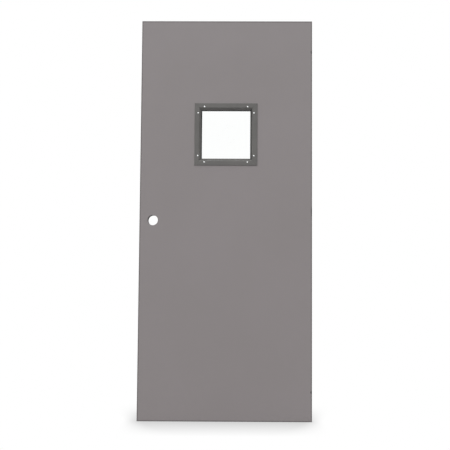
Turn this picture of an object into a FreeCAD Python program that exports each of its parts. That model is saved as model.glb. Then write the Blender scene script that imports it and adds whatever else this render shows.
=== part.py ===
import FreeCAD, Part
import math
import os

# Hollow metal door leaf with a square vision lite.
# The push face looks to -Y, the hinge edge to +X, the lock edge to -X and the top to +Z.
# The origin lies on the flat seat of the bottom hinge, at the middle of the hinge's height.

# Leaf
leaf_width = 908.0
leaf_height = 2111.0
leaf_thickness = 44.45
face_sheet = 1.2
fold_radius = 1.0
seam_return = 9.0
piece_clearance = 0.5

# End channels, open towards the ends of the leaf
end_channel_sheet = 1.6
end_channel_inset = 25.0

# Hinge edge
hinge_height = 114.3
hinge_seat_depth = 3.4
hinge_lip = 6.35
hinge_from_end = 181.0
hinge_plate_thickness = 4.6
hinge_ramp_length = 10.0
hinge_tab_length = 35.0
hinge_outer_spacing = 93.66
hinge_inner_spacing = 39.7
hinge_outer_row = 9.5
hinge_inner_row = 22.2
hinge_tap_radius = 2.25

# Lock edge
lock_height = 1044.0
lock_backset = 69.85
cross_bore_radius = 27.0
latch_bore_radius = 12.7
latch_front_height = 57.15
latch_front_width = 28.6
latch_front_depth = 4.0
latch_front_corner = 3.2
latch_plate_thickness = 2.7
latch_plate_ramp = 8.0
latch_plate_tab = 20.0
latch_screw_spacing = 42.9
latch_tap_radius = 1.75
lock_box_sheet = 1.6
lock_box_height = 102.0
lock_box_margin = 16.0

# Vision lite
lite_below_top = 610.0
lite_towards_lock = 2.0
lite_cutout = 304.8
lite_visible = 257.0
lite_overlap = 13.6
lite_proud = 4.0
lite_sheet = 1.2
lite_bevel = 14.5
lite_stop_width = 9.5
lite_screw_inside_cutout = 4.3
lite_screw_spacing = 228.6
lite_screw_radius = 2.1
lite_head_radius = 3.9
lite_dimple_depth = 2.3
lite_dimple_wall = 0.8
lite_post_across_flats = 7.0
lite_post_length = 9.0
lite_tap_radius = 1.65
cutout_channel_sheet = 1.2
cutout_channel_depth = 22.0
glass_edge_room = 12.7
glass_thickness = 6.35
tape_width = 8.0
tape_thickness = 1.6
setting_block_length = 40.0
setting_block_spacing = 140.0

# Planes that the pieces share
edge_hinge = hinge_seat_depth
edge_lock = edge_hinge - leaf_width
face_pull = (leaf_thickness - hinge_lip) / 2
face_push = face_pull - leaf_thickness
middle_y = (face_push + face_pull) / 2
leaf_bottom = -hinge_from_end
leaf_top = leaf_bottom + leaf_height
lock_z = leaf_bottom + lock_height
lock_x = edge_lock + lock_backset
lite_x = (edge_hinge + edge_lock) / 2 - lite_towards_lock
lite_z = leaf_top - lite_below_top
hinge_centres = {
    "bottom": 0.0,
    "middle": leaf_height / 2 - hinge_from_end,
    "top": leaf_height - 2 * hinge_from_end,
}
glass_size = lite_cutout - 2 * glass_edge_room
stop_plane = glass_thickness / 2 + tape_thickness

vertical = FreeCAD.Vector(0, 0, 1)
across = FreeCAD.Vector(0, 1, 0)
along = FreeCAD.Vector(1, 0, 0)


def plan_point(u, v):
    return FreeCAD.Vector(u, v, 0)


def end_view_point(u, v):
    return FreeCAD.Vector(0, u, v)


def side_view_point(u, v):
    return FreeCAD.Vector(u, 0, v)


def block(low_x, high_x, low_y, high_y, low_z, high_z):
    corner = FreeCAD.Vector(low_x, low_y, low_z)
    return Part.makeBox(high_x - low_x, high_y - low_y, high_z - low_z, corner)


def bend_side(corners, distance, outer_of_left, outer_of_right):
    """Edges of one face of a formed sheet: the corner path moved sideways, with an arc at each bend."""
    headings = []
    for start, end in zip(corners, corners[1:]):
        length = math.dist(start, end)
        headings.append(((end[0] - start[0]) / length, (end[1] - start[1]) / length))
    first = headings[0]
    stretches = [(corners[0][0] - first[1] * distance, corners[0][1] + first[0] * distance)]
    for corner, before, after in zip(corners[1:], headings, headings[1:]):
        left_turn = before[0] * after[1] - before[1] * after[0] > 0
        radius = outer_of_left if left_turn else outer_of_right
        side = 1 if left_turn else -1
        half_turn = math.acos(before[0] * after[0] + before[1] * after[1]) / 2
        shift = distance * math.tan(half_turn) * -side
        meet = (
            corner[0] - before[1] * distance + before[0] * shift,
            corner[1] + before[0] * distance + before[1] * shift,
        )
        reach = radius * math.tan(half_turn)
        enter = (meet[0] - before[0] * reach, meet[1] - before[1] * reach)
        leave = (meet[0] + after[0] * reach, meet[1] + after[1] * reach)
        centre = (enter[0] - before[1] * radius * side, enter[1] + before[0] * radius * side)
        chord_middle = ((enter[0] + leave[0]) / 2, (enter[1] + leave[1]) / 2)
        stretch = radius / math.dist(centre, chord_middle)
        crown = (
            centre[0] + (chord_middle[0] - centre[0]) * stretch,
            centre[1] + (chord_middle[1] - centre[1]) * stretch,
        )
        stretches.append((enter, crown, leave))
    last = headings[-1]
    stretches.append((corners[-1][0] - last[1] * distance, corners[-1][1] + last[0] * distance))
    return stretches


def formed_section(corners, sheet, inside_radius, place):
    """Section of a sheet folded along the corners, with its thickness to the left of the path."""
    outside_radius = inside_radius + sheet
    near = bend_side(corners, 0.0, outside_radius, inside_radius)
    far = bend_side(corners, sheet, inside_radius, outside_radius)
    edges = []
    ends = []
    for side in (near, far):
        here = side[0]
        ends.append(place(*here))
        for enter, crown, leave in side[1:-1]:
            edges.append(Part.LineSegment(place(*here), place(*enter)).toShape())
            edges.append(Part.Arc(place(*enter), place(*crown), place(*leave)).toShape())
            here = leave
        edges.append(Part.LineSegment(place(*here), place(*side[-1])).toShape())
        ends.append(place(*side[-1]))
    edges.append(Part.LineSegment(ends[0], ends[2]).toShape())
    edges.append(Part.LineSegment(ends[1], ends[3]).toShape())
    return Part.Face(Part.Wire(Part.__sortEdges__(edges)))


def face_pan():
    """Push side pan: the face, two edge flanges and the seam returns that meet the other pan."""
    return_reach = face_sheet + seam_return
    corners = [
        (edge_lock + return_reach, middle_y),
        (edge_lock, middle_y),
        (edge_lock, face_push),
        (edge_hinge, face_push),
        (edge_hinge, middle_y),
        (edge_hinge - return_reach, middle_y),
    ]
    section = formed_section(corners, face_sheet, fold_radius, plan_point)
    pan = section.extrude(vertical * leaf_height)
    pan.translate(vertical * leaf_bottom)
    return pan


def mirrored_to_pull_side(shape):
    return shape.mirror(FreeCAD.Vector(0, middle_y, 0), across)


def lite_hole():
    half = lite_cutout / 2
    return block(lite_x - half, lite_x + half, face_push, face_pull, lite_z - half, lite_z + half)


def cross_bore():
    start = FreeCAD.Vector(lock_x, face_push, lock_z)
    return Part.makeCylinder(cross_bore_radius, leaf_thickness, start, across)


def hinge_notch(centre):
    """Room for one hinge leaf, shut by the lip on the push side and open on the pull side."""
    half = hinge_height / 2
    seat = edge_hinge - hinge_seat_depth
    return block(seat, edge_hinge, face_push + hinge_lip, face_pull, centre - half, centre + half)


def hinge_plate_reach():
    return hinge_height / 2 + hinge_ramp_length + hinge_tab_length


def seam_relief(edge, inward, centre, half_height):
    """Stretch of the seam returns that is cut away so that a plate can sit behind the edge."""
    outer = edge + inward * face_sheet
    inner = edge + inward * (face_sheet + seam_return)
    half = half_height + piece_clearance
    low_y = middle_y - face_sheet - fold_radius
    high_y = middle_y + face_sheet + fold_radius
    return block(min(outer, inner), max(outer, inner), low_y, high_y, centre - half, centre + half)


def latch_front_pocket():
    half_height = latch_front_height / 2
    half_width = latch_front_width / 2
    pocket = block(
        edge_lock,
        edge_lock + latch_front_depth,
        middle_y - half_width,
        middle_y + half_width,
        lock_z - half_height,
        lock_z + half_height,
    )
    long_edges = [edge for edge in pocket.Edges if abs(edge.tangentAt(edge.FirstParameter).x) > 0.9]
    return pocket.makeFillet(latch_front_corner, long_edges)


def latch_plate_reach():
    return latch_front_height / 2 + latch_plate_ramp + latch_plate_tab


def edge_cuts():
    cuts = [lite_hole(), cross_bore(), latch_front_pocket()]
    cuts.append(seam_relief(edge_lock, 1, lock_z, latch_plate_reach()))
    for centre in hinge_centres.values():
        cuts.append(hinge_notch(centre))
        cuts.append(seam_relief(edge_hinge, -1, centre, hinge_plate_reach()))
    return cuts


def face_sheets():
    pan = face_pan()
    cuts = edge_cuts()
    return {
        "front_face_sheet": pan.cut(cuts),
        "back_face_sheet": mirrored_to_pull_side(pan).cut(cuts),
    }


def end_channel(end, outward):
    """Channel across one end: the web lies inside and both flanges run out to the end."""
    low_y = face_push + face_sheet
    high_y = face_pull - face_sheet
    web = end - outward * end_channel_inset
    corners = [(high_y, end), (high_y, web), (low_y, web), (low_y, end)]
    if outward > 0:
        corners.reverse()
    section = formed_section(corners, end_channel_sheet, fold_radius, end_view_point)
    margin = face_sheet + seam_return + piece_clearance
    length = leaf_width - 2 * margin
    channel = section.extrude(along * length)
    channel.translate(along * (edge_lock + margin))
    return channel


def end_channels():
    return {
        "top_end_channel": end_channel(leaf_top, 1),
        "bottom_end_channel": end_channel(leaf_bottom, -1),
    }


def lock_box_end():
    return lock_x + cross_bore_radius + lock_box_margin


def honeycomb_core():
    """Block that fills the leaf between the sheets, with room for the lock and the lite."""
    side_margin = face_sheet + seam_return + piece_clearance
    end_margin = end_channel_inset + end_channel_sheet
    low_y = face_push + face_sheet
    high_y = face_pull - face_sheet
    core = block(
        edge_lock + side_margin,
        edge_hinge - side_margin,
        low_y,
        high_y,
        leaf_bottom + end_margin,
        leaf_top - end_margin,
    )
    half_lite = lite_cutout / 2 + cutout_channel_depth + piece_clearance
    window = block(
        lite_x - half_lite, lite_x + half_lite, low_y, high_y, lite_z - half_lite, lite_z + half_lite
    )
    half_lock = lock_box_height / 2 + piece_clearance
    lock_end = lock_box_end() + piece_clearance
    pocket = block(
        edge_lock + side_margin, lock_end, low_y, high_y, lock_z - half_lock, lock_z + half_lock
    )
    return {"honeycomb_core": core.cut([window, pocket])}


def lock_reinforcement():
    """Folded box behind the cross bore: a leg against each sheet and a web at the inner end."""
    start = edge_lock + face_sheet + seam_return + piece_clearance
    low_y = face_push + face_sheet
    high_y = face_pull - face_sheet
    corners = [(start, low_y), (lock_box_end(), low_y), (lock_box_end(), high_y), (start, high_y)]
    section = formed_section(corners, lock_box_sheet, fold_radius, plan_point)
    box = section.extrude(vertical * lock_box_height)
    box.translate(vertical * (lock_z - lock_box_height / 2))
    return {"lock_reinforcement": box.cut(cross_bore())}


def joggled_plate(edge, inward, depth, thickness, half_seat, ramp, tab, low_y, high_y):
    """Plate behind an edge: its seat is set back, and its ends step out to the inside of the sheet."""
    seat = edge + inward * depth
    behind_sheet = edge + inward * face_sheet
    corners = [
        (behind_sheet, -half_seat - ramp - tab),
        (behind_sheet, -half_seat - ramp),
        (seat, -half_seat),
        (seat, half_seat),
        (behind_sheet, half_seat + ramp),
        (behind_sheet, half_seat + ramp + tab),
    ]
    if inward > 0:
        corners.reverse()
    section = formed_section(corners, thickness, fold_radius, side_view_point)
    plate = section.extrude(across * (high_y - low_y))
    plate.translate(across * low_y)
    return plate


def tapped_hole(radius, x, y, z, length):
    return Part.makeCylinder(radius, length, FreeCAD.Vector(x, y, z), along)


def hinge_plate(centre):
    low_y = face_push + hinge_lip
    high_y = face_pull - face_sheet - fold_radius - piece_clearance
    plate = joggled_plate(
        edge_hinge,
        -1,
        hinge_seat_depth,
        hinge_plate_thickness,
        hinge_height / 2,
        hinge_ramp_length,
        hinge_tab_length,
        low_y,
        high_y,
    )
    rows = ((hinge_outer_row, hinge_outer_spacing), (hinge_inner_row, hinge_inner_spacing))
    holes = []
    for row, spacing in rows:
        for side in (-1, 1):
            z = side * spacing / 2
            holes.append(
                tapped_hole(hinge_tap_radius, -hinge_plate_thickness, low_y + row, z, hinge_plate_thickness)
            )
    plate = plate.cut(holes)
    plate.translate(vertical * centre)
    return plate


def hinge_plates():
    return {"hinge_plate_" + name: hinge_plate(centre) for name, centre in hinge_centres.items()}


def latch_front_plate():
    half_width = latch_front_width / 2
    plate = joggled_plate(
        edge_lock,
        1,
        latch_front_depth,
        latch_plate_thickness,
        latch_front_height / 2,
        latch_plate_ramp,
        latch_plate_tab,
        middle_y - half_width,
        middle_y + half_width,
    )
    seat = edge_lock + latch_front_depth
    holes = [tapped_hole(latch_bore_radius, seat, middle_y, 0.0, latch_plate_thickness)]
    for side in (-1, 1):
        z = side * latch_screw_spacing / 2
        holes.append(tapped_hole(latch_tap_radius, seat, middle_y, z, latch_plate_thickness))
    plate = plate.cut(holes)
    plate.translate(vertical * lock_z)
    return {"latch_front_plate": plate}


def turned_about_lite(shape, quarter_turns):
    turned = shape.copy()
    turned.rotate(FreeCAD.Vector(lite_x, 0, lite_z), across, 90 * quarter_turns)
    return turned


def lite_outer_half():
    return lite_cutout / 2 + lite_overlap


def lite_member(post):
    """Top member of the push side frame: a formed section, mitred at both ends."""
    outer = lite_z + lite_outer_half()
    inner = lite_z + lite_visible / 2
    front = face_push - lite_proud
    stop = middle_y - stop_plane
    corners = [
        (stop, inner + lite_stop_width),
        (stop, inner),
        (front + lite_bevel, inner),
        (front, inner + lite_bevel),
        (front, outer),
        (face_push, outer),
    ]
    corners.reverse()
    section = formed_section(corners, lite_sheet, fold_radius, end_view_point)
    half = lite_outer_half()
    member = section.extrude(along * (2 * half))
    member.translate(along * (lite_x - half))
    screw_z = lite_z + lite_cutout / 2 - lite_screw_inside_cutout
    for side in (-1, 1):
        screw = FreeCAD.Vector(lite_x + side * lite_screw_spacing / 2, front, screw_z)
        member = lite_post(member, screw) if post else lite_screw_hole(member, screw)
    tip = FreeCAD.Vector(lite_x, front, lite_z)
    left = FreeCAD.Vector(lite_x - half, front, outer)
    right = FreeCAD.Vector(lite_x + half, front, outer)
    mitre = Part.Face(Part.makePolygon([tip, left, right, tip]))
    return member.common(mitre.extrude(across * (leaf_thickness / 2 + lite_proud)))


def lite_screw_hole(member, screw):
    """Hole with its rim pressed inwards, so that a flat screw head lies flush with the flange."""
    slope = (lite_head_radius - lite_screw_radius) / lite_dimple_depth
    mouth = lite_head_radius - slope * lite_sheet + lite_dimple_wall
    foot = lite_screw_radius + lite_dimple_wall
    under = screw + across * lite_sheet
    dimple = Part.makeCone(mouth, foot, lite_dimple_depth - lite_sheet, under, across)
    countersink = Part.makeCone(lite_head_radius, lite_screw_radius, lite_dimple_depth, screw, across)
    return member.fuse(dimple).cut(countersink)


def hexagon(centre, across_flats):
    corner = across_flats / 2 / math.cos(math.pi / 6)
    points = []
    for step in range(7):
        turn = step * math.pi / 3
        points.append(centre + along * (corner * math.cos(turn)) + vertical * (corner * math.sin(turn)))
    return Part.Face(Part.makePolygon(points))


def lite_post(member, screw):
    """Blind tapped hexagon post behind the flange of the pull side frame, which takes one screw."""
    foot = screw + across * lite_sheet
    post = hexagon(foot, lite_post_across_flats).extrude(across * lite_post_length)
    thread = Part.makeCylinder(lite_tap_radius, lite_post_length, foot, across)
    return member.fuse(post).cut(thread)


def lite_frames():
    sides = ("top", "hinge_side", "bottom", "lock_side")
    front = lite_member(False)
    rear = mirrored_to_pull_side(lite_member(True))
    pieces = {}
    for turns, side in enumerate(sides):
        pieces["front_lite_" + side] = turned_about_lite(front, turns)
        pieces["rear_lite_" + side] = turned_about_lite(rear, turns)
    return pieces


def cutout_channel(half_length):
    """Channel over the cut-out, open away from it, between the two sheets."""
    low_y = face_push + face_sheet
    high_y = face_pull - face_sheet
    web = lite_z + lite_cutout / 2
    tip = web + cutout_channel_depth
    corners = [(low_y, tip), (low_y, web), (high_y, web), (high_y, tip)]
    section = formed_section(corners, cutout_channel_sheet, fold_radius, end_view_point)
    channel = section.extrude(along * (2 * half_length))
    channel.translate(along * (lite_x - half_length))
    return channel


def cutout_channels():
    long_channel = cutout_channel(lite_cutout / 2 + cutout_channel_depth)
    short_channel = cutout_channel(lite_cutout / 2)
    return {
        "cutout_channel_top": long_channel,
        "cutout_channel_hinge_side": turned_about_lite(short_channel, 1),
        "cutout_channel_bottom": turned_about_lite(long_channel, 2),
        "cutout_channel_lock_side": turned_about_lite(short_channel, 3),
    }


def square_plate(size, low_y, high_y):
    half = size / 2
    return block(lite_x - half, lite_x + half, low_y, high_y, lite_z - half, lite_z + half)


def glazing():
    near = middle_y - glass_thickness / 2
    far = middle_y + glass_thickness / 2
    outer = lite_visible + 2 * tape_width
    front_tape = square_plate(outer, near - tape_thickness, near)
    front_tape = front_tape.cut(square_plate(lite_visible, near - tape_thickness, near))
    block_low = lite_z - lite_cutout / 2
    block_high = block_low + glass_edge_room
    half_block = setting_block_length / 2
    blocks = []
    for side in (-1, 1):
        centre = lite_x + side * setting_block_spacing / 2
        blocks.append(block(centre - half_block, centre + half_block, near, far, block_low, block_high))
    return {
        "glass_pane": square_plate(glass_size, near, far),
        "glazing_tape_front": front_tape,
        "glazing_tape_rear": mirrored_to_pull_side(front_tape),
        "setting_blocks": Part.makeCompound(blocks),
    }


def door_pieces():
    pieces = {}
    pieces.update(face_sheets())
    pieces.update(end_channels())
    pieces.update(honeycomb_core())
    pieces.update(lock_reinforcement())
    pieces.update(latch_front_plate())
    pieces.update(hinge_plates())
    pieces.update(cutout_channels())
    pieces.update(lite_frames())
    pieces.update(glazing())
    return pieces


os.makedirs("parts", exist_ok=True)
for name, shape in door_pieces().items():
    shape.exportStep("parts/" + name + ".step")
    print(name, "solids", len(shape.Solids), "valid", shape.isValid(), "volume", round(shape.Volume, 1))
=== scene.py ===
import math
import bpy
import bmesh
from mathutils import Matrix, Vector


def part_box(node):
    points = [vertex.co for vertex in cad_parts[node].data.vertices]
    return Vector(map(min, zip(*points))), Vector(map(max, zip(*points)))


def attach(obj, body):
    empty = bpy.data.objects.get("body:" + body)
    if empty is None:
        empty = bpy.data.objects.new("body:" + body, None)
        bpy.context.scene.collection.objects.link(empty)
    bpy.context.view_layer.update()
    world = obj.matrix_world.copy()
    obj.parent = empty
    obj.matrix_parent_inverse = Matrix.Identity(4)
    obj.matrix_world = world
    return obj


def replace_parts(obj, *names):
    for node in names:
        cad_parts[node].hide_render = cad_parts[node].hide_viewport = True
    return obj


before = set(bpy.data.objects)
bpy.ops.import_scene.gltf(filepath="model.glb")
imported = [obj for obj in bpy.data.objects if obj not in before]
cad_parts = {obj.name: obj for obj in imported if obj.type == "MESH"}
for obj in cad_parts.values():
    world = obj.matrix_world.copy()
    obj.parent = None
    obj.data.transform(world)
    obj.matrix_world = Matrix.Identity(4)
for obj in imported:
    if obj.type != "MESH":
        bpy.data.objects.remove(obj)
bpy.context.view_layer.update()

scene = bpy.context.scene
print("frame loaded:", len(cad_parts), "nodes")

# the leaf and the lite, read from the frame, in metres
leafLow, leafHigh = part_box("front_face_sheet")
leafHigh.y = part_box("back_face_sheet")[1].y
leafCentre = (leafLow + leafHigh) / 2
leafHalf = (leafHigh - leafLow) / 2
liteLow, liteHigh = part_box("front_lite_top")
liteHalf = (liteHigh.x - liteLow.x) / 2
liteX = (liteHigh.x + liteLow.x) / 2
liteZ = liteHigh.z - liteHalf

# the ranges that noise is eased over: its middle, where most values lie, and the speckle's own
noiseMiddle = (0.3, 0.7)
speckleRange = (0.35, 0.75)
white = (1, 1, 1, 1)


# node helpers that the finishes share
def newFinish(name):
    finish = bpy.data.materials.new(name)
    finish.use_nodes = True
    finish.node_tree.nodes.clear()
    return finish


def addNode(finish, kind, inputs=None, **settings):
    made = finish.node_tree.nodes.new(kind)
    for key, value in settings.items():
        setattr(made, key, value)
    for key, value in (inputs or {}).items():
        if isinstance(value, bpy.types.NodeSocket):
            finish.node_tree.links.new(value, made.inputs[key])
        else:
            made.inputs[key].default_value = value
    return made


def calc(finish, operation, first, second=0.0, third=0.0, **settings):
    inputs = {0: first, 1: second, 2: third}
    return addNode(finish, "ShaderNodeMath", inputs, operation=operation, **settings).outputs[0]


def vectorCalc(finish, operation, first, second=(0, 0, 0)):
    inputs = {0: first, 1: second}
    return addNode(finish, "ShaderNodeVectorMath", inputs, operation=operation).outputs[0]


def splitVector(finish, vector):
    return addNode(finish, "ShaderNodeSeparateXYZ", {0: vector}).outputs


def distanceTo(finish, value, middle):
    return calc(finish, "ABSOLUTE", calc(finish, "SUBTRACT", value, middle))


def objectPlace(finish):
    return addNode(finish, "ShaderNodeTexCoord").outputs["Object"]


def noise(finish, place, scale, detail, stretch=None):
    if stretch:
        inputs = {"Vector": place, "Scale": stretch}
        place = addNode(finish, "ShaderNodeMapping", inputs).outputs["Vector"]
    inputs = {"Vector": place, "Scale": scale, "Detail": detail}
    return addNode(finish, "ShaderNodeTexNoise", inputs).outputs["Fac"]


def ease(finish, value, fromLow, fromHigh, toLow=0.0, toHigh=1.0, way="SMOOTHSTEP"):
    inputs = {"Value": value, "From Min": fromLow, "From Max": fromHigh,
              "To Min": toLow, "To Max": toHigh}
    made = addNode(finish, "ShaderNodeMapRange", inputs, interpolation_type=way)
    return made.outputs["Result"]


# noise eased from one end of the spread to the other
def cloud(finish, place, scale, detail, spread=noiseMiddle, ends=(0.0, 1.0)):
    return ease(finish, noise(finish, place, scale, detail), *spread, *ends)


def mixColour(finish, share, first, second):
    inputs = {0: share, 6: first, 7: second}
    return addNode(finish, "ShaderNodeMix", inputs, data_type="RGBA").outputs[2]


# lays a tone over a colour where the mask is, with this share at most
def layTone(finish, colour, tone, mask, share):
    return mixColour(finish, calc(finish, "MULTIPLY", mask, share), colour, tone)


# distance from a centre, where 1 is the rim of an ellipsoid with these radii
def spot(finish, place, centre, radii):
    away = vectorCalc(finish, "SUBTRACT", place, centre)
    scaled = vectorCalc(finish, "DIVIDE", away, radii)
    return addNode(finish, "ShaderNodeVectorMath", {0: scaled}, operation="LENGTH").outputs["Value"]


def bump(finish, height, distance, under=None):
    inputs = {"Height": height, "Distance": distance, "Strength": 1.0}
    if under:
        inputs["Normal"] = under
    return addNode(finish, "ShaderNodeBump", inputs).outputs["Normal"]


def closeFinish(finish, colour, roughness, normal, constants):
    inputs = {"Base Color": colour, "Roughness": roughness, "Normal": normal}
    inputs.update(constants)
    shader = addNode(finish, "ShaderNodeBsdfPrincipled", inputs)
    addNode(finish, "ShaderNodeOutputMaterial", {"Surface": shader.outputs[0]})
    return finish


# colour, roughness and normal of a sprayed coat: slow tone, fine speckle and orange peel
def paintCoat(finish, look):
    place = objectPlace(finish)
    slow = cloud(finish, place, look["slowScale"], detail=3.0)
    speckle = cloud(finish, place, look["speckleScale"], detail=1.0, spread=speckleRange)
    colour = mixColour(finish, slow, look["darkTone"], look["lightTone"])
    colour = layTone(finish, colour, look["speckleTone"], speckle, look["speckleShare"])
    peel = noise(finish, place, look["peelScale"], detail=2.0)
    roughness = cloud(finish, place, look["sheenScale"], detail=4.0, ends=look["roughness"])
    return place, colour, roughness, bump(finish, peel, look["peelHeight"])


# leaf: sprayed grey primer with painted shade along the folds, and dark marks on the hinge edge
leafPaint = {
    "darkTone": (0.2295, 0.2075, 0.2075, 1),
    "lightTone": (0.2375, 0.2145, 0.2165, 1),
    "speckleTone": (0.27, 0.255, 0.255, 1),
    "speckleShare": 0.22,
    "slowScale": 1.7,
    "speckleScale": 900.0,
    "peelScale": 420.0,
    "peelHeight": 0.00006,
    "sheenScale": 9.0,
    "roughness": (0.52, 0.62),
    "specular": 0.35,
    "waveScale": 5.0,
    "waveStretch": (1.0, 1.0, 0.35),
    "waveHeight": 0.0012,
    # painted shade along all the folds and ends of the leaf
    "foldShadeTone": (0.06, 0.055, 0.055, 1),
    "foldFade": (0.0085, 0.001),  # where the dark begins and where it is full, from the edge
    "foldShare": 0.58,
    "foldPatchAdd": 0.2,  # added to that share where the patch noise is high
    "patchScale": 55.0,
    "rimTone": (0.3, 0.285, 0.28, 1),
    "rimFade": (1.03, 1.0),  # in radii
    "rimShare": 0.35,
    "boreCentre": (-0.83475, 0.0, 0.863),
    "boreRadii": (0.027, 9.0, 0.027),  # the long one makes a bore of the ellipsoid
    "markTone": (0.016, 0.015, 0.015, 1),
    "markFade": (1.35, 0.95),  # in radii
    "markShare": 0.85,
    "raggedScale": 260.0,
    "raggedShare": 0.5,
    "marks": [  # centre and radii of each dark mark on the fold of the hinge edge
        ((0.0014, -0.0254, 1.7625), (0.0060, 0.006, 0.0095)),
        ((0.0022, -0.0254, 0.9110), (0.0046, 0.006, 0.0270)),
        ((0.0006, -0.0254, -0.0293), (0.0058, 0.006, 0.0075)),
    ],
}


def makeLeafPaint():
    look = leafPaint
    finish = newFinish("sprayedGreyPrimer")
    place, colour, roughness, normal = paintCoat(finish, look)
    # how far a point lies from the nearest fold or cut end
    away = vectorCalc(finish, "SUBTRACT", place, tuple(leafCentre))
    size = vectorCalc(finish, "ABSOLUTE", away)
    room = splitVector(finish, vectorCalc(finish, "SUBTRACT", tuple(leafHalf), size))
    fold = calc(finish, "ADD", calc(finish, "MINIMUM", room[0], room[2]), room[1])
    # painted shade: the coat darkens near every fold and end, broken up by the patch noise
    dark = ease(finish, fold, *look["foldFade"])
    patchy = cloud(finish, place, look["patchScale"], detail=5.0)
    share = calc(finish, "MULTIPLY_ADD", patchy, look["foldPatchAdd"], look["foldShare"])
    colour = layTone(finish, colour, look["foldShadeTone"], dark, share)
    # the cut rim of the bore holds less paint and looks lighter
    rim = spot(finish, place, look["boreCentre"], look["boreRadii"])
    rim = ease(finish, rim, *look["rimFade"])
    colour = layTone(finish, colour, look["rimTone"], rim, look["rimShare"])
    ragged = noise(finish, place, look["raggedScale"], detail=3.0)
    for centre, radii in look["marks"]:
        reach = spot(finish, place, centre, radii)
        reach = calc(finish, "MULTIPLY_ADD", ragged, look["raggedShare"], reach)
        mark = ease(finish, reach, *look["markFade"])
        colour = layTone(finish, colour, look["markTone"], mark, look["markShare"])
    wave = noise(finish, place, look["waveScale"], detail=1.0, stretch=look["waveStretch"])
    normal = bump(finish, wave, look["waveHeight"], normal)
    return closeFinish(finish, colour, roughness, normal, {"Specular IOR Level": look["specular"]})


# lite frames: darker sprayed grey, thin on the bends, with a filled mitre at each corner, and
# painted shade in the opening
litePaint = {
    "darkTone": (0.103, 0.0990, 0.0945, 1),
    "lightTone": (0.114, 0.1095, 0.1045, 1),
    "speckleTone": (0.2, 0.195, 0.19, 1),
    "speckleShare": 0.18,
    "slowScale": 14.0,
    "speckleScale": 1100.0,
    "peelScale": 520.0,
    "peelHeight": 0.00007,
    "sheenScale": 30.0,
    "roughness": (0.44, 0.58),
    "specular": 0.4,
    "bendTone": (0.17, 0.165, 0.158, 1),
    "bendInset": 0.0230,  # from the outer edge to the bend into the bevel
    "bendWidth": 0.0014,
    "patchScale": 90.0,
    "wearSpread": (0.42, 0.7),
    "mitreTone": (0.055, 0.052, 0.05, 1),
    "mitreFade": (0.0008, 0.0002),
    "mitreShare": 0.8,
    "mitreDepth": 0.0002,
    # painted shade for the legs in the opening and the bevel's end beside them
    "legShadeTone": (0.014, 0.0135, 0.013, 1),
    "legShare": 0.96,
    "legLine": 0.1289,  # from the lite's centre to the legs in the opening
    "legEdge": 0.0003,
    "legFade": (0.0046, 0.0028),  # the painted shade line's fade on the bevel, from the legs
    # the painted shade line's strength and what widens it, first on the uprights and then on the
    # other two
    # members: what each metre to the right or up adds, and the value in the middle; strongest at
    # top and left
    "shadeStrength": ((-0.4, 0.95), (2.1, 0.78)),
    "widen": ((0.0142, 0.00185), (-0.0077, -0.001)),
    # painted shade in the dimples round the screw heads
    "screwShadeSpots": [(0.1143, 0.0294, 0.1481), (0.1481, 0.0294, 0.1143)],  # one corner, mirrored
    "screwShadeReach": (0.0085, 0.00425, 0.0085),
    "screwShadeFade": (1.0, 0.45),
    "screwShadeShare": 0.5,
}


def makeLitePaint():
    look = litePaint
    finish = newFinish("sprayedLiteGrey")
    place, colour, roughness, normal = paintCoat(finish, look)
    away = vectorCalc(finish, "SUBTRACT", place, (liteX, 0.0, liteZ))
    size = vectorCalc(finish, "ABSOLUTE", away)
    parts = splitVector(finish, size)
    across = calc(finish, "MAXIMUM", parts[0], parts[2])
    patchy = cloud(finish, place, look["patchScale"], detail=4.0, spread=look["wearSpread"])
    for line in (liteHalf, liteHalf - look["bendInset"]):
        near = ease(finish, distanceTo(finish, across, line), look["bendWidth"], 0.0)
        colour = layTone(finish, colour, look["bendTone"], near, patchy)
    # painted shade: the legs in the opening and the bevel's end beside them are painted nearly
    # black
    sides = splitVector(finish, away)
    upright = calc(finish, "GREATER_THAN", parts[0], parts[2])
    bySide = []
    for toRight, toTop in (look["shadeStrength"], look["widen"]):
        onUprights = calc(finish, "MULTIPLY_ADD", sides[0], *toRight)
        onLevels = calc(finish, "MULTIPLY_ADD", sides[2], *toTop)
        change = calc(finish, "SUBTRACT", onUprights, onLevels)
        bySide.append(calc(finish, "MULTIPLY_ADD", change, upright, onLevels))
    shadeStrength, widen = bySide
    inner = calc(finish, "SUBTRACT", across, widen)
    inner = ease(finish, inner, *(look["legLine"] + fade for fade in look["legFade"]))
    inner = calc(finish, "MULTIPLY", inner, shadeStrength, use_clamp=True)
    leg = ease(finish, across, look["legLine"], look["legLine"] - look["legEdge"])
    paintedShade = calc(finish, "MAXIMUM", inner, leg)
    colour = layTone(finish, colour, look["legShadeTone"], paintedShade, look["legShare"])
    # painted shade round the screw heads, in their dimples
    for centre in look["screwShadeSpots"]:
        screwShade = spot(finish, size, centre, look["screwShadeReach"])
        screwShade = ease(finish, screwShade, *look["screwShadeFade"])
        colour = layTone(finish, colour, look["mitreTone"], screwShade, look["screwShadeShare"])
    mitre = ease(finish, distanceTo(finish, parts[0], parts[2]), *look["mitreFade"])
    colour = layTone(finish, colour, look["mitreTone"], mitre, look["mitreShare"])
    normal = bump(finish, calc(finish, "SUBTRACT", 1.0, mitre), look["mitreDepth"], normal)
    return closeFinish(finish, colour, roughness, normal, {"Specular IOR Level": look["specular"]})


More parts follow.
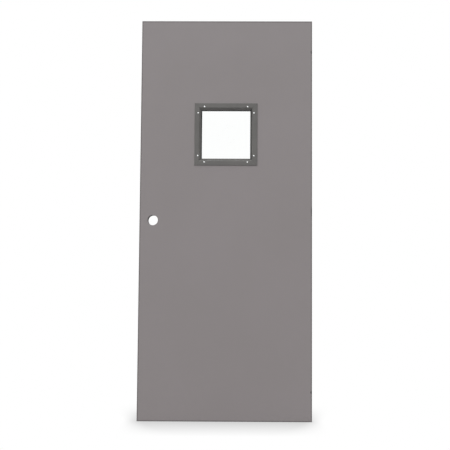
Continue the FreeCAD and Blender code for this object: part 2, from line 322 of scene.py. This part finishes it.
# channels and the lock box: thin primer over sheet steel, with a row of spot welds
channelPaint = {
    "darkTone": (0.17, 0.157, 0.155, 1),
    "lightTone": (0.2, 0.185, 0.183, 1),
    "speckleTone": (0.29, 0.28, 0.275, 1),
    "speckleShare": 0.3,
    "slowScale": 11.0,
    "speckleScale": 700.0,
    "peelScale": 300.0,
    "peelHeight": 0.00008,
    "sheenScale": 24.0,
    "roughness": (0.5, 0.72),
    "specular": 0.4,
    "metallic": 0.15,
    "weldTone": (0.1, 0.088, 0.082, 1),
    "weldShare": 0.7,
    "weldPitch": 0.15,
    "weldInset": 0.011,  # from the leaf's head and foot
    "weldRadius": 0.0032,
    "weldFade": (0.0012, 0.0002),
    "weldDepth": 0.0003,
}


def makeChannelPaint():
    look = channelPaint
    finish = newFinish("thinPrimerOnSteel")
    place, colour, roughness, normal = paintCoat(finish, look)
    parts = splitVector(finish, place)
    step = calc(finish, "FRACT", calc(finish, "DIVIDE", parts[0], look["weldPitch"]))
    along = calc(finish, "MULTIPLY", calc(finish, "SUBTRACT", step, 0.5), look["weldPitch"])
    end = distanceTo(finish, parts[2], leafCentre.z)
    up = calc(finish, "SUBTRACT", end, leafHalf.z - look["weldInset"])
    squares = [calc(finish, "MULTIPLY", length, length) for length in (along, up)]
    away = calc(finish, "SQRT", calc(finish, "ADD", *squares))
    ring = ease(finish, distanceTo(finish, away, look["weldRadius"]), *look["weldFade"])
    colour = layTone(finish, colour, look["weldTone"], ring, look["weldShare"])
    normal = bump(finish, calc(finish, "SUBTRACT", 1.0, ring), look["weldDepth"], normal)
    constants = {"Specular IOR Level": look["specular"], "Metallic": look["metallic"]}
    return closeFinish(finish, colour, roughness, normal, constants)


# hinge and latch plates: rolled steel with drawn streaks under thin primer
platePaint = {
    "darkTone": (0.15, 0.14, 0.138, 1),
    "lightTone": (0.19, 0.178, 0.175, 1),
    "speckleTone": (0.33, 0.32, 0.31, 1),
    "speckleShare": 0.35,
    "slowScale": 26.0,
    "speckleScale": 800.0,
    "peelScale": 380.0,
    "peelHeight": 0.00006,
    "sheenScale": 60.0,
    "roughness": (0.42, 0.66),
    "specular": 0.5,
    "metallic": 0.35,
    "streakTone": (0.24, 0.23, 0.225, 1),
    "streakShare": 0.45,
    "streakScale": 500.0,
    "streakStretch": (1.0, 1.0, 0.06),
    "streakSpread": (0.45, 0.72),
    "streakHeight": 0.00005,
}


def makePlatePaint():
    look = platePaint
    finish = newFinish("rolledPlateSteel")
    place, colour, roughness, normal = paintCoat(finish, look)
    streak = noise(finish, place, look["streakScale"], detail=3.0, stretch=look["streakStretch"])
    drawn = ease(finish, streak, *look["streakSpread"])
    colour = layTone(finish, colour, look["streakTone"], drawn, look["streakShare"])
    normal = bump(finish, streak, look["streakHeight"], normal)
    constants = {"Specular IOR Level": look["specular"], "Metallic": look["metallic"]}
    return closeFinish(finish, colour, roughness, normal, constants)


# core: brown kraft paper with long fibres
corePaper = {
    "darkTone": (0.36, 0.235, 0.13, 1),
    "lightTone": (0.5, 0.36, 0.22, 1),
    "toneScale": 35.0,
    "fibreTone": (0.62, 0.5, 0.35, 1),
    "fibreShare": 0.4,
    "fibreScale": 650.0,
    "fibreStretch": (1.0, 0.25, 1.0),
    "fibreSpread": (0.5, 0.75),
    "fibreHeight": 0.00012,
    "roughness": (0.82, 0.95),
    "specular": 0.2,
}


def makeCorePaper():
    look = corePaper
    finish = newFinish("kraftPaper")
    place = objectPlace(finish)
    tone = cloud(finish, place, look["toneScale"], detail=3.0)
    colour = mixColour(finish, tone, look["darkTone"], look["lightTone"])
    fibre = noise(finish, place, look["fibreScale"], detail=4.0, stretch=look["fibreStretch"])
    fibres = ease(finish, fibre, *look["fibreSpread"])
    colour = layTone(finish, colour, look["fibreTone"], fibres, look["fibreShare"])
    roughness = ease(finish, fibre, *noiseMiddle, *look["roughness"])
    normal = bump(finish, fibre, look["fibreHeight"])
    return closeFinish(finish, colour, roughness, normal, {"Specular IOR Level": look["specular"]})


# tape and setting blocks: matt black closed-cell foam
blackFoam = {
    "darkTone": (0.012, 0.012, 0.012, 1),
    "lightTone": (0.035, 0.035, 0.036, 1),
    "cellScale": 1500.0,
    "cellSpread": (0.1, 0.6),
    "cellHeight": 0.0001,
    "sheenScale": 200.0,
    "roughness": (0.75, 0.9),
    "specular": 0.3,
}


def makeBlackFoam():
    look = blackFoam
    finish = newFinish("blackFoam")
    place = objectPlace(finish)
    inputs = {"Vector": place, "Scale": look["cellScale"]}
    cells = addNode(finish, "ShaderNodeTexVoronoi", inputs).outputs["Distance"]
    tone = ease(finish, cells, *look["cellSpread"])
    colour = mixColour(finish, tone, look["darkTone"], look["lightTone"])
    roughness = cloud(finish, place, look["sheenScale"], detail=2.0, ends=look["roughness"])
    normal = bump(finish, cells, look["cellHeight"])
    return closeFinish(finish, colour, roughness, normal, {"Specular IOR Level": look["specular"]})


# glass: clear float glass, a little dusty, with a faint ripple
clearGlass = {
    "cleanTone": (0.985, 0.995, 0.99, 1),
    "dustTone": (0.94, 0.955, 0.945, 1),
    "dustShare": 0.35,
    "dustScale": 18.0,
    "dustSpread": (0.5, 0.8),
    "roughness": (0.0, 0.012),
    "rippleScale": 12.0,
    "rippleHeight": 0.00002,
    "refraction": 1.5,
}


def makeClearGlass():
    look = clearGlass
    finish = newFinish("clearFloatGlass")
    place = objectPlace(finish)
    dust = cloud(finish, place, look["dustScale"], detail=6.0, spread=look["dustSpread"])
    colour = layTone(finish, look["cleanTone"], look["dustTone"], dust, look["dustShare"])
    roughness = ease(finish, dust, 0.0, 1.0, *look["roughness"])
    ripple = noise(finish, place, look["rippleScale"], detail=1.0)
    normal = bump(finish, ripple, look["rippleHeight"])
    constants = {"Transmission Weight": 1.0, "IOR": look["refraction"]}
    return closeFinish(finish, colour, roughness, normal, constants)


# screws: bright zinc plate with fine turning marks
zincPlate = {
    "darkTone": (0.8, 0.81, 0.82, 1),
    "lightTone": (0.95, 0.955, 0.955, 1),
    "toneScale": 420.0,
    "sheenScale": 900.0,
    "roughness": (0.2, 0.36),
    "turningScale": 2600.0,
    "turningHeight": 0.00003,
}


def makeZincPlate():
    look = zincPlate
    finish = newFinish("brightZincPlate")
    place = objectPlace(finish)
    tone = cloud(finish, place, look["toneScale"], detail=4.0)
    colour = mixColour(finish, tone, look["darkTone"], look["lightTone"])
    roughness = cloud(finish, place, look["sheenScale"], detail=2.0, ends=look["roughness"])
    turning = noise(finish, place, look["turningScale"], detail=2.0)
    normal = bump(finish, turning, look["turningHeight"])
    return closeFinish(finish, colour, roughness, normal, {"Metallic": 1.0})


leafFinish = makeLeafPaint()
liteFinish = makeLitePaint()
channelFinish = makeChannelPaint()
plateFinish = makePlatePaint()
paperFinish = makeCorePaper()
foamFinish = makeBlackFoam()
glassFinish = makeClearGlass()
zincFinish = makeZincPlate()


def dress(piece, finish):
    piece.data.materials.clear()
    piece.data.materials.append(finish)


# the first of these words in a node's name gives its finish
finishes = {
    "face_sheet": leafFinish,
    "end_channel": channelFinish,
    "cutout_channel": channelFinish,
    "lock_reinforcement": channelFinish,
    "hinge_plate": plateFinish,
    "latch_front": plateFinish,
    "lite": liteFinish,
    "core": paperFinish,
    "glass": glassFinish,
    "tape": foamFinish,
    "setting": foamFinish,
}
for name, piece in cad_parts.items():
    dress(piece, next(finish for part, finish in finishes.items() if part in name))
print("finishes given to", len(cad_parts), "nodes")


# closes a bmesh into a named object
def makeObject(name, bm):
    mesh = bpy.data.meshes.new(name)
    bm.to_mesh(mesh)
    bm.free()
    made = bpy.data.objects.new(name, mesh)
    scene.collection.objects.link(made)
    return made


# closes a bmesh into a piece that rides on the leaf
def placePiece(name, bm, finish):
    piece = makeObject(name, bm)
    dress(piece, finish)
    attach(piece, "root")
    return piece


# screws of the lite: shallow oval head with a cross recess, threaded shank
liteScrew = {
    "headRadius": 0.00382,
    "crown": 0.00025,
    "crownSteps": (0.0, 0.3, 0.55, 0.75, 0.9),  # of the head's radius
    "rimHeight": 0.0001,
    "headDepth": 0.0019,
    "shankRadius": 0.00138,
    "length": 0.0465,
    "tipLength": 0.0022,
    "tipShare": 0.35,  # of the shank's radius
    "roundSteps": 40,
    "joinWithin": 1e-6,
    "threadRadius": 0.0016,
    "threadPitch": 0.00079,
    "threadStart": 0.030,
    "threadHalf": 0.42,  # half the ridge's foot, for each pitch
    "threadRoot": 0.95,  # of the shank's radius, so the ridge is sunk a little
    "threadSteps": 12,
    "wingLength": 0.0038,
    "wingWidth": 0.00075,
    "wingTaper": (0.4, 1, 0.7),
    "recessDepth": 0.0018,
    "recessOver": 0.0003,  # how far the cutter stands out of the head
    "line": 0.1481,  # from the lite's centre to a row of screws
    "spacing": 0.2286,
    "turns": [12, 67, 38, 81, 24, 55, 3, 49],  # degrees, one for each head
}


# spins a profile of (radius, depth) points about the Y axis; a drop moves each turn on by that
# much and closes the profile, as for the ridge of a thread
def spinRound(bm, points, steps, turns=1, drop=0.0):
    corners = [bm.verts.new((radius, depth, 0)) for radius, depth in points]
    edges = [bm.edges.new(pair) for pair in zip(corners, corners[1:])]
    if drop:
        edges.append(bm.edges.new((corners[-1], corners[0])))
    bmesh.ops.spin(bm, geom=corners + edges, cent=(0, 0, 0), axis=(0, 1, 0),
                   dvec=(0, drop / steps, 0), angle=math.tau * turns, steps=steps * turns,
                   use_merge=not drop)


def screwBlank():
    look = liteScrew
    bm = bmesh.new()
    rim = look["crown"]
    points = [(look["headRadius"] * share, rim * share * share) for share in look["crownSteps"]]
    points += [
        (look["headRadius"], rim),
        (look["headRadius"], rim + look["rimHeight"]),
        (look["shankRadius"], rim + look["headDepth"]),
        (look["shankRadius"], look["length"] - look["tipLength"]),
        (look["shankRadius"] * look["tipShare"], look["length"]),
        (0.0, look["length"]),
    ]
    spinRound(bm, points, look["roundSteps"])
    bmesh.ops.remove_doubles(bm, verts=bm.verts, dist=look["joinWithin"])
    bmesh.ops.recalc_face_normals(bm, faces=bm.faces)
    return bm


# two tapered blades that cut the driver recess
def crossRecess():
    look = liteScrew
    wing = (look["wingLength"], look["recessDepth"], look["wingWidth"])
    blades = []
    for turn in (0, math.pi / 2):
        bm = bmesh.new()
        blade = bmesh.ops.create_cube(bm, size=1.0)["verts"]
        bmesh.ops.translate(bm, verts=blade, vec=(0, 0.5, 0))
        bmesh.ops.scale(bm, verts=blade, vec=wing)
        foot = [v for v in blade if v.co.y > 0]
        mouth = [v for v in blade if v.co.y <= 0]
        bmesh.ops.scale(bm, verts=foot, vec=look["wingTaper"])
        bmesh.ops.translate(bm, verts=mouth, vec=(0, -look["recessOver"], 0))
        spun = Matrix.Rotation(turn, 3, "Y")
        bmesh.ops.rotate(bm, verts=blade, cent=(0, 0, 0), matrix=spun)
        blades.append(bm)
    return blades


# the finished screw as a mesh, with its head at the origin and its shank along +Y
def cutScrew():
    look = liteScrew
    blank = makeObject("screwBlank", screwBlank())
    cutters = [makeObject("recessBlade", blade) for blade in crossRecess()]
    for cutter in cutters:
        cut = blank.modifiers.new("recess", "BOOLEAN")
        cut.operation = "DIFFERENCE"
        cut.object = cutter
        cut.solver = "EXACT"
    graph = bpy.context.evaluated_depsgraph_get()
    mesh = bpy.data.meshes.new_from_object(blank.evaluated_get(graph))
    for scratch in [blank, *cutters]:
        bpy.data.objects.remove(scratch)
    bm = bmesh.new()
    bm.from_mesh(mesh)
    # the thread is one helical ridge, closed at both ends
    pitch = look["threadPitch"]
    half = pitch * look["threadHalf"]
    root = look["shankRadius"] * look["threadRoot"]
    start = look["threadStart"]
    turns = int((look["length"] - look["tipLength"] - start) / pitch) - 1
    ridge = [(root, start - half), (look["threadRadius"], start), (root, start + half)]
    before = set(bm.verts)
    spinRound(bm, ridge, look["threadSteps"], turns, pitch)
    ends = [e for e in bm.edges if e.is_boundary and e.verts[0] not in before]
    bmesh.ops.holes_fill(bm, edges=ends, sides=len(ridge))
    added = [f for f in bm.faces if f.verts[0] not in before]
    bmesh.ops.recalc_face_normals(bm, faces=added)
    bm.to_mesh(mesh)
    bm.free()
    return mesh


def makeScrews():
    look = liteScrew
    mesh = cutScrew()
    places = []
    for side in (-1, 1):
        for step in (-1, 1):
            places.append((step * look["spacing"] / 2, side * look["line"]))
            places.append((side * look["line"], step * look["spacing"] / 2))
    for index, (across, up) in enumerate(places):
        bm = bmesh.new()
        bm.from_mesh(mesh)
        turn = Matrix.Rotation(math.radians(look["turns"][index]), 4, "Y")
        put = Matrix.Translation((liteX + across, liteLow.y, liteZ + up))
        bmesh.ops.transform(bm, matrix=put @ turn, verts=bm.verts)
        placePiece("lite_screw_" + str(index + 1), bm, zincFinish)
    print("screws made:", len(places), "with", len(mesh.polygons), "faces each")


makeScrews()


# core: kraft honeycomb of thin six-sided cells, with room for the lite and the lock
coreCells = {
    "acrossFlats": 0.0254,
    "paper": 0.0004,
    "gap": 0.0003,
    "liteRoom": 0.1749,  # half the side of the square kept free round the lite's centre
    "lockReach": -0.7912,  # the lock's room runs from here to the lock edge
    "lockHeight": 0.863,
    "lockRoom": 0.0515,  # above and below that height
}


def moveVerts(bm, geometry, shift):
    moved = [item for item in geometry if isinstance(item, bmesh.types.BMVert)]
    bmesh.ops.translate(bm, verts=moved, vec=shift)


# whether a cell lies in the way of the lite or the lock, or past the core's ends
def isUnwanted(corners, high):
    look = coreCells
    inLite = any(max(abs(v.co.x - liteX), abs(v.co.z - liteZ)) < look["liteRoom"] for v in corners)
    inLock = any(v.co.x < look["lockReach"]
                 and abs(v.co.z - look["lockHeight"]) < look["lockRoom"] for v in corners)
    outside = any(v.co.x > high.x or v.co.z > high.z for v in corners)
    return inLite or inLock or outside


def makeCore():
    look = coreCells
    low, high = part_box("honeycomb_core")
    pitch = look["acrossFlats"]
    rise = pitch * math.sqrt(3) / 2  # from one row of cells to the next
    outer = (pitch - look["gap"]) / math.sqrt(3)
    bm = bmesh.new()
    lie = Matrix.Rotation(math.pi / 2, 4, "X") @ Matrix.Rotation(math.pi / 6, 4, "Z")
    bmesh.ops.create_circle(bm, cap_ends=False, segments=6, radius=outer, matrix=lie)
    walls = bmesh.ops.extrude_edge_only(bm, edges=bm.edges[:])["geom"]
    moveVerts(bm, walls, (0, high.y - low.y, 0))
    bmesh.ops.recalc_face_normals(bm, faces=bm.faces)
    bmesh.ops.solidify(bm, geom=bm.faces[:], thickness=look["paper"])
    moveVerts(bm, bm.verts, (low.x + pitch / 2, low.y, low.z + outer))
    perCell = len(bm.verts)
    columns = int((high.x - low.x) / pitch)
    rows = int((high.z - low.z - 2 * outer) / rise) + 1
    cell = bm.verts[:] + bm.edges[:] + bm.faces[:]
    row = list(cell)
    for column in range(1, columns):
        copied = bmesh.ops.duplicate(bm, geom=cell)["geom"]
        moveVerts(bm, copied, (pitch * column, 0, 0))
        row += copied
    for level in range(1, rows):
        copied = bmesh.ops.duplicate(bm, geom=row)["geom"]
        moveVerts(bm, copied, (pitch / 2 * (level % 2), 0, level * rise))
    points = bm.verts[:]
    cells = [points[first:first + perCell] for first in range(0, len(points), perCell)]
    doomed = [v for corners in cells if isUnwanted(corners, high) for v in corners]
    bmesh.ops.delete(bm, geom=doomed, context="VERTS")
    print("core cells:", len(bm.verts) // perCell)
    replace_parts(placePiece("honeycomb_cells", bm, paperFinish), "honeycomb_core")


makeCore()


# floor: white to the camera with the soft shadow of whatever stands on it, plain grey to the leaf
floorLook = {
    "reach": 14.0,
    "cuts": 8,
    "bounce": (0.42, 0.42, 0.425, 1),
    "shadowReach": 0.66,
    "shadowSamples": 16,
    "shadowFade": (0.5, 0.925),  # how open the floor is where the shade is full, and where it ends
    "shadowDepth": 0.64,  # what is left of the light in the full shade
    "poolDepth": 0.33,  # what the pool takes off the light
    "poolAside": -0.008,
    "poolSide": (-0.032, 0.073),  # where its side starts and stops fading, past the leaf's end
    "poolSoften": (-0.13, -0.36),  # moves the start with the distance from the leaf, and its square
    "poolSpread": 0.08,  # moves the stop with that distance
    "poolLean": (0.045, 0.085),  # how far it drifts and widens for each metre behind the leaf
    "poolMiddle": 0.15,
    "poolLength": (0.2, 0.76),  # where it starts and stops fading, before and behind its middle
}


def seenDirectly(finish):
    rays = addNode(finish, "ShaderNodeLightPath").outputs
    seen = calc(finish, "MAXIMUM", rays["Is Camera Ray"], rays["Is Glossy Ray"])
    return calc(finish, "MAXIMUM", seen, rays["Is Transmission Ray"])


# how much light the floor shows: less near what stands on it, and in a pool round the leaf's foot
def floorShade(finish):
    look = floorLook
    inputs = {"Distance": look["shadowReach"]}
    clear = addNode(finish, "ShaderNodeAmbientOcclusion", inputs, samples=look["shadowSamples"])
    clear = clear.outputs["AO"]
    shade = ease(finish, clear, *look["shadowFade"], look["shadowDepth"], way="LINEAR")
    parts = splitVector(finish, objectPlace(finish))
    drift = calc(finish, "MULTIPLY_ADD", parts[1], look["poolLean"][0], parts[0])
    beyond = distanceTo(finish, drift, leafCentre.x + look["poolAside"])
    end = calc(finish, "MULTIPLY_ADD", parts[1], look["poolLean"][1], leafHalf.x)
    beyond = calc(finish, "SUBTRACT", beyond, end)
    apart = calc(finish, "ABSOLUTE", parts[1])
    soften = calc(finish, "MULTIPLY_ADD", apart, look["poolSoften"][1], look["poolSoften"][0])
    soften = calc(finish, "MULTIPLY", soften, apart)
    start = calc(finish, "ADD", soften, look["poolSide"][0])
    stop = calc(finish, "MULTIPLY_ADD", apart, look["poolSpread"], look["poolSide"][1])
    inSide = ease(finish, beyond, stop, start)
    along = distanceTo(finish, parts[1], look["poolMiddle"])
    inLength = ease(finish, along, *reversed(look["poolLength"]), way="LINEAR")
    pool = calc(finish, "MULTIPLY", inSide, inLength)
    pool = calc(finish, "MULTIPLY", pool, look["poolDepth"])
    within = ease(finish, beyond, stop, soften)
    close = calc(finish, "MULTIPLY", calc(finish, "SUBTRACT", 1.0, shade), within)
    return calc(finish, "SUBTRACT", 1.0, calc(finish, "MAXIMUM", close, pool))


def makeFloor():
    look = floorLook
    finish = newFinish("whiteFloor")
    bounce = addNode(finish, "ShaderNodeBsdfDiffuse", {"Color": look["bounce"]})
    inputs = {"Color": white, "Strength": floorShade(finish)}
    shown = addNode(finish, "ShaderNodeEmission", inputs)
    inputs = {0: seenDirectly(finish), 1: bounce.outputs[0], 2: shown.outputs[0]}
    both = addNode(finish, "ShaderNodeMixShader", inputs)
    addNode(finish, "ShaderNodeOutputMaterial", {"Surface": both.outputs[0]})
    bm = bmesh.new()
    lie = Matrix.Translation((leafCentre.x, 0, leafLow.z))
    cuts = look["cuts"]
    bmesh.ops.create_grid(bm, x_segments=cuts, y_segments=cuts, size=look["reach"], matrix=lie)
    floor = makeObject("studioFloor", bm)
    dress(floor, finish)


# light: an even white room, one wide lamp from the upper left and a panel above the leaf
studioLight = {
    "roomLight": 0.8,
    "lampLight": 1.92,
    "lampFrom": (-0.424, -0.441, 0.797),
    "lampSpread": 80.0,
    "panelPower": 6.4,
    "panelPlace": (-0.9, -2.2, 3.6),
    "panelSize": (2.4, 1.0),
    "panelColour": (0.78, 0.97, 1.0),
    "panelAim": 1.6,  # height on the leaf
}


def makeLight():
    look = studioLight
    world = bpy.data.worlds.new("whiteRoom")
    scene.world = world
    world.use_nodes = True
    world.node_tree.nodes.clear()
    strength = ease(world, seenDirectly(world), 0.0, 1.0, look["roomLight"], 1.0)
    room = addNode(world, "ShaderNodeBackground", {"Color": white, "Strength": strength})
    addNode(world, "ShaderNodeOutputWorld", {"Surface": room.outputs[0]})
    lamp = bpy.data.lights.new("wideLamp", "SUN")
    lamp.energy = look["lampLight"]
    lamp.angle = math.radians(look["lampSpread"])
    holder = bpy.data.objects.new("wideLamp", lamp)
    holder.rotation_euler = Vector(look["lampFrom"]).to_track_quat("Z", "Y").to_euler()
    scene.collection.objects.link(holder)
    # a cooler panel lifts the leaf's upper half a little
    panel = bpy.data.lights.new("topPanel", "AREA")
    panel.shape = "RECTANGLE"
    panel.size, panel.size_y = look["panelSize"]
    panel.energy = look["panelPower"]
    panel.color = look["panelColour"]
    holder = bpy.data.objects.new("topPanel", panel)
    holder.location = look["panelPlace"]
    towards = Vector((leafCentre.x, leafLow.y, look["panelAim"])) - holder.location
    holder.rotation_euler = towards.to_track_quat("-Z", "Y").to_euler()
    scene.collection.objects.link(holder)


# camera: long lens, a little below the middle of the leaf, looking up
cameraLook = {
    "place": (-0.198, -5.578, 0.465),
    "yaw": 0.617,
    "pitch": 5.10,
    "roll": 0.253,
    "lens": 84.704,
    "sensor": 36.0,
    "shift": (-0.08312, -0.05113),
    "farthest": 100.0,
}


def turnAbout(axis, degrees):
    return Matrix.Rotation(math.radians(degrees), 4, axis)


def makeCamera():
    look = cameraLook
    lens = bpy.data.cameras.new("productCamera")
    lens.lens = look["lens"]
    lens.sensor_width = look["sensor"]
    lens.shift_x, lens.shift_y = look["shift"]
    lens.clip_end = look["farthest"]
    camera = bpy.data.objects.new("productCamera", lens)
    aim = turnAbout("Z", look["yaw"]) @ turnAbout("X", 90 + look["pitch"])
    aim = aim @ turnAbout("Z", look["roll"])
    camera.matrix_world = Matrix.Translation(look["place"]) @ aim
    scene.collection.objects.link(camera)
    scene.camera = camera


makeFloor()
makeLight()
makeCamera()
scene.view_settings.view_transform = "Standard"
print("floor, light and camera set")
